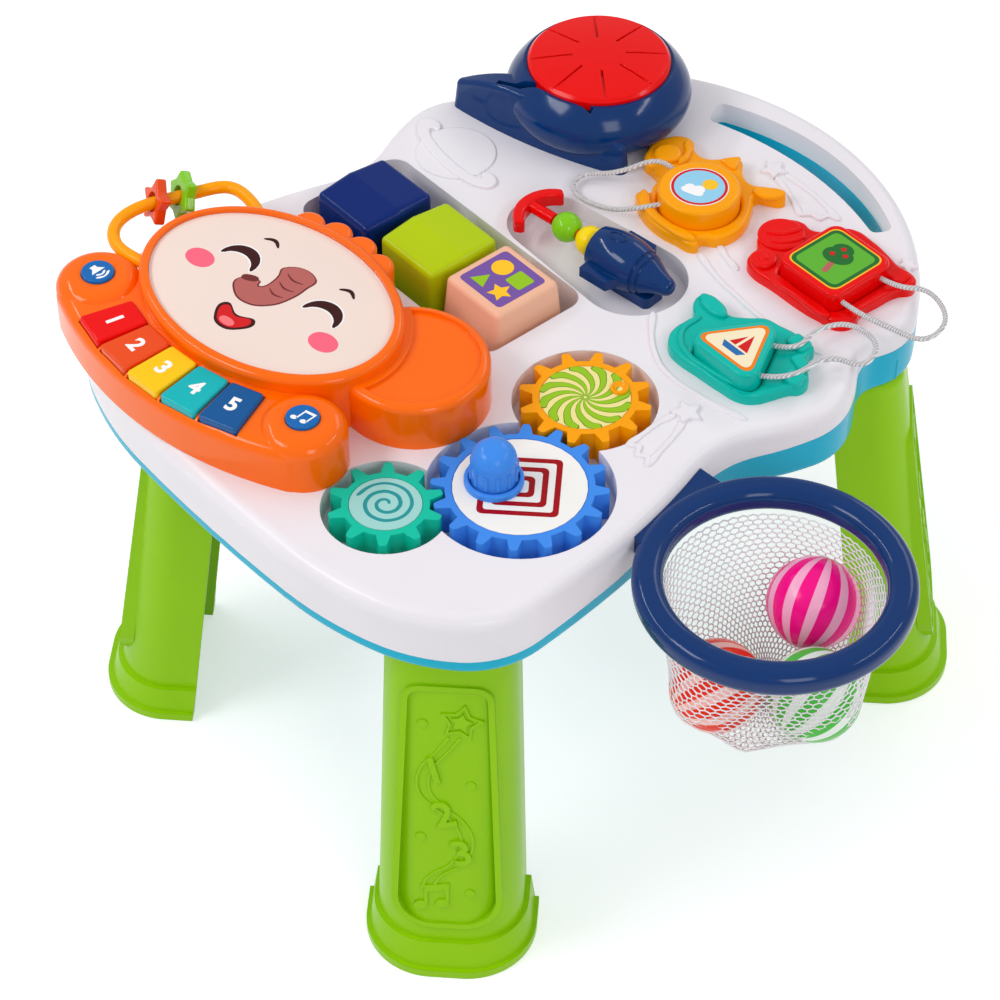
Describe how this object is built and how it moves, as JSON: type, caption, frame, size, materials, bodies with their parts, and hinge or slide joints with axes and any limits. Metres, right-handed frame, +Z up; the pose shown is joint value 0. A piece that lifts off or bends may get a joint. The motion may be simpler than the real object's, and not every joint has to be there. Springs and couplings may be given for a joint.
{
  "type": "activity table",
  "caption": "Toddler activity table on splayed legs with meshing gears, a hand piano, a turning dial, shape pucks, a bead pusher, blocks in a bin and a ball hoop.",
  "frame": {"origin": "bottom centre of the whole table, on the floor", "axes": "+X to the child's right, +Y away from the child, +Z up"},
  "size_m": [0.5482, 0.504, 0.3628],
  "materials": {
    "amber": "glossy",
    "ball_green": "glossy",
    "ball_pink": "glossy",
    "ball_red": "glossy",
    "battery_label": "glossy",
    "bead_lime": "glossy",
    "block_navy": "glossy",
    "board_green": "satin",
    "boat_teal": "glossy",
    "button_blue": "glossy",
    "cord_white": "satin",
    "crank_blue": "glossy",
    "face_cream": "glossy",
    "gear_teal": "glossy",
    "gear_yellow": "glossy",
    "key_blue": "glossy",
    "key_orange": "glossy",
    "key_teal": "glossy",
    "key_yellow": "glossy",
    "leg_green": "glossy",
    "lime": "glossy",
    "navy": "glossy",
    "net_white": "satin",
    "peach": "glossy",
    "piano_orange": "glossy",
    "red": "glossy",
    "speaker_dark": "satin",
    "steel": "satin",
    "teal_shell": "glossy",
    "white_shell": "glossy",
    "yellow": "glossy"
  },
  "bodies": {
    "table": {"deck_shell": "white_shell", "base_shell": "teal_shell", "leg_front_right": "leg_green", "leg_back_right": "leg_green", "leg_back_left": "leg_green", "leg_front_left": "leg_green", "shell_screws": "steel", "gear_screws": "steel", "rocket": "navy", "airplane_base": "amber", "train_base": "red", "boat_base": "boat_teal", "planet_housing": "navy", "hoop_ring": "navy", "net_bag": "net_white"},
    "crank": {"crank_gear": "crank_blue"},
    "knob": {"crank_knob": "crank_blue"},
    "pinwheel": {"pinwheel_gear": "gear_yellow"},
    "spiral": {"spiral_gear": "gear_teal"},
    "pusher": {"plunger": "red"},
    "green_bead": {"green_bead": "bead_lime"},
    "yellow_bead": {"yellow_bead": "yellow"},
    "airplane": {"airplane_puck": "amber", "airplane_cord": "cord_white"},
    "train": {"train_puck": "red", "train_cord": "cord_white"},
    "boat": {"boat_puck": "boat_teal", "boat_cord": "cord_white"},
    "dial": {"planet_dial": "red", "dial_screw": "steel"},
    "red_ball": {"red_ball": "ball_red"},
    "green_ball": {"green_ball": "ball_green"},
    "pink_ball": {"pink_ball": "ball_pink"},
    "navy_block": {"navy_block": "block_navy"},
    "lime_block": {"lime_block": "lime"},
    "peach_block": {"peach_block": "peach"},
    "piano": {"panel_top": "piano_orange", "panel_back": "piano_orange", "face_plate": "face_cream", "ring_handle": "amber", "circuit_board": "board_green", "speaker": "speaker_dark", "battery_door": "piano_orange", "batteries": "battery_label", "panel_screws": "steel"},
    "key_1": {"key_1": "red"},
    "key_2": {"key_2": "key_orange"},
    "key_3": {"key_3": "key_yellow"},
    "key_4": {"key_4": "key_teal"},
    "key_5": {"key_5": "key_blue"},
    "left_button": {"left_button": "button_blue"},
    "right_button": {"right_button": "button_blue"},
    "star_bead": {"star_bead": "key_orange"},
    "flower_bead": {"flower_bead": "bead_lime"}
  },
  "joints": [
    {"name": "crank_turn", "type": "hinge", "parent": "table", "child": "crank", "pos_m": [0.05236, -0.1166, 0.315], "axis": [0, 0, 1], "continuous": true},
    {"name": "pinwheel_turn", "type": "hinge", "parent": "table", "child": "pinwheel", "pos_m": [0.02089, -0.03872, 0.315], "axis": [0, 0, 1], "continuous": true},
    {"name": "spiral_turn", "type": "hinge", "parent": "table", "child": "spiral", "pos_m": [0.01336, -0.18415, 0.315], "axis": [0, 0, 1], "continuous": true},
    {"name": "knob_turn", "type": "hinge", "parent": "crank", "child": "knob", "pos_m": [0.03951, -0.12527, 0.315], "axis": [0, 0, 1], "continuous": true},
    {"name": "pusher_slide", "type": "slide", "parent": "table", "child": "pusher", "axis": [0.9938, 0.1115, 0], "range_m": [0, 0.009]},
    {"name": "green_bead_turn", "type": "hinge", "parent": "pusher", "child": "green_bead", "pos_m": [-0.10024, 0.05343, 0.32], "axis": [0.9938, 0.1115, 0], "continuous": true},
    {"name": "yellow_bead_turn", "type": "hinge", "parent": "pusher", "child": "yellow_bead", "pos_m": [-0.08067, 0.05563, 0.32], "axis": [0.9938, 0.1115, 0], "continuous": true},
    {"name": "airplane_lift", "type": "slide", "parent": "table", "child": "airplane", "axis": [0, 0, 1], "range_m": [0, 0.025]},
    {"name": "train_lift", "type": "slide", "parent": "table", "child": "train", "axis": [0, 0, 1], "range_m": [0, 0.025]},
    {"name": "boat_lift", "type": "slide", "parent": "table", "child": "boat", "axis": [0, 0, 1], "range_m": [0, 0.025]},
    {"name": "dial_turn", "type": "hinge", "parent": "table", "child": "dial", "pos_m": [-0.17844, 0.149, 0.315], "axis": [0, 0, 1], "continuous": true},
    {"name": "red_ball_lift", "type": "slide", "parent": "table", "child": "red_ball", "axis": [0, 0, 1], "range_m": [0, 0.02]},
    {"name": "green_ball_lift", "type": "slide", "parent": "table", "child": "green_ball", "axis": [0, 0, 1], "range_m": [0, 0.02]},
    {"name": "pink_ball_lift", "type": "slide", "parent": "table", "child": "pink_ball", "axis": [0, 0, 1], "range_m": [0, 0.02]},
    {"name": "navy_block_lift", "type": "slide", "parent": "table", "child": "navy_block", "axis": [0, 0, 1], "range_m": [0, 0.045]},
    {"name": "lime_block_lift", "type": "slide", "parent": "table", "child": "lime_block", "axis": [0, 0, 1], "range_m": [0, 0.045]},
    {"name": "peach_block_lift", "type": "slide", "parent": "table", "child": "peach_block", "axis": [0, 0, 1], "range_m": [0, 0.045]},
    {"name": "piano_lift", "type": "slide", "parent": "table", "child": "piano", "axis": [0, 0, 1], "range_m": [0, 0.03]},
    {"name": "key_1_press", "type": "slide", "parent": "piano", "child": "key_1", "axis": [0, 0, -1], "range_m": [0, 0.0025], "stiffness_N_per_m": 250},
    {"name": "key_2_press", "type": "slide", "parent": "piano", "child": "key_2", "axis": [0, 0, -1], "range_m": [0, 0.0025], "stiffness_N_per_m": 250},
    {"name": "key_3_press", "type": "slide", "parent": "piano", "child": "key_3", "axis": [0, 0, -1], "range_m": [0, 0.0025], "stiffness_N_per_m": 250},
    {"name": "key_4_press", "type": "slide", "parent": "piano", "child": "key_4", "axis": [0, 0, -1], "range_m": [0, 0.0025], "stiffness_N_per_m": 250},
    {"name": "key_5_press", "type": "slide", "parent": "piano", "child": "key_5", "axis": [0, 0, -1], "range_m": [0, 0.0025], "stiffness_N_per_m": 250},
    {"name": "left_button_press", "type": "slide", "parent": "piano", "child": "left_button", "axis": [0, 0, -1], "range_m": [0, 0.002], "stiffness_N_per_m": 250},
    {"name": "right_button_press", "type": "slide", "parent": "piano", "child": "right_button", "axis": [0, 0, -1], "range_m": [0, 0.002], "stiffness_N_per_m": 250},
    {"name": "star_bead_turn", "type": "hinge", "parent": "piano", "child": "star_bead", "pos_m": [-0.25996, -0.14255, 0.345], "axis": [-0.3005, -0.9538, 0], "continuous": true},
    {"name": "flower_bead_turn", "type": "hinge", "parent": "piano", "child": "flower_bead", "pos_m": [-0.25453, -0.12697, 0.345], "axis": [-0.3306, -0.9438, 0], "continuous": true}
  ],
  "couplings": [
    {"joint": "pinwheel_turn", "follows": "crank_turn", "ratio": -1.3333},
    {"joint": "spiral_turn", "follows": "crank_turn", "ratio": -1.6}
  ]
}
